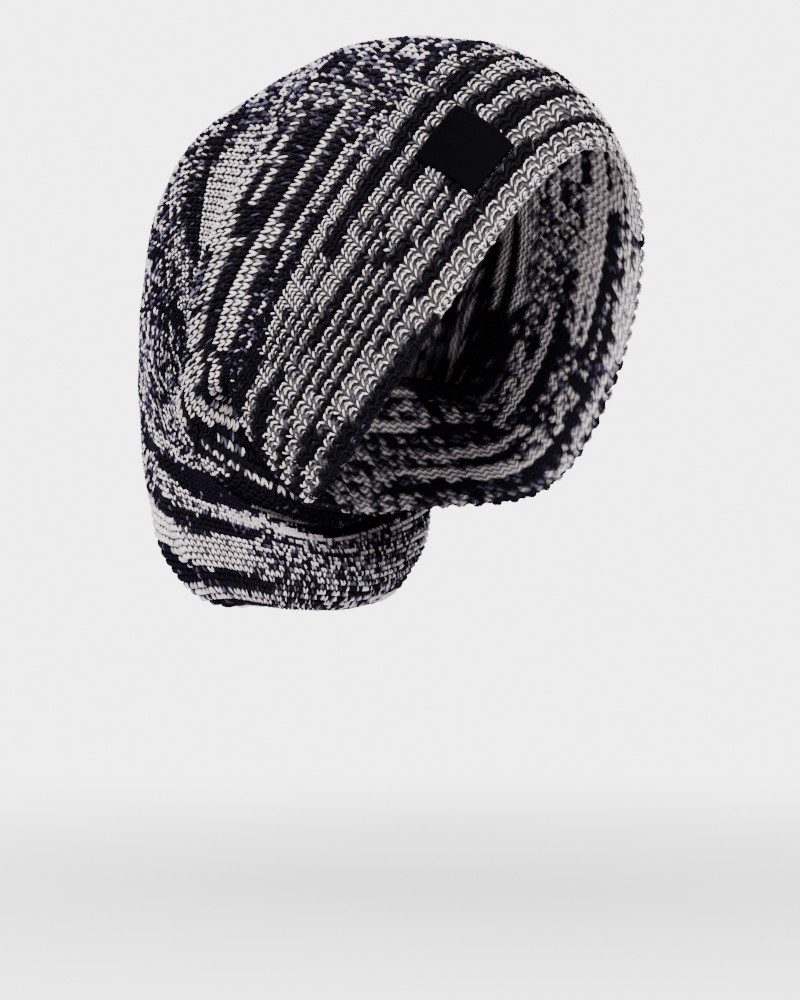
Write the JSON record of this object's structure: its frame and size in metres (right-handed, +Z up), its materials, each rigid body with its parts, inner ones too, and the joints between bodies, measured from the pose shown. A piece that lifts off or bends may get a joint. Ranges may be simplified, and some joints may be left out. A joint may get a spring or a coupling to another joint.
{
  "type": "slouch knit cap",
  "caption": "Slouchy knitted cap as worn: a ribbed band, a plain knit body folded over behind it and hanging as a bag behind the neck, and a small bare woven label on the band.",
  "frame": {"origin": "middle of the rim opening, where the cap sits on the head", "axes": "+X towards the wearer's left, +Y backwards, +Z up"},
  "size_m": [0.1722, 0.2299, 0.256],
  "materials": {
    "knit": "matte",
    "label_cloth": "matte"
  },
  "bodies": {
    "root": {"rib_band": "knit", "slouch_body": "knit", "label": "label_cloth"}
  },
  "joints": []
}
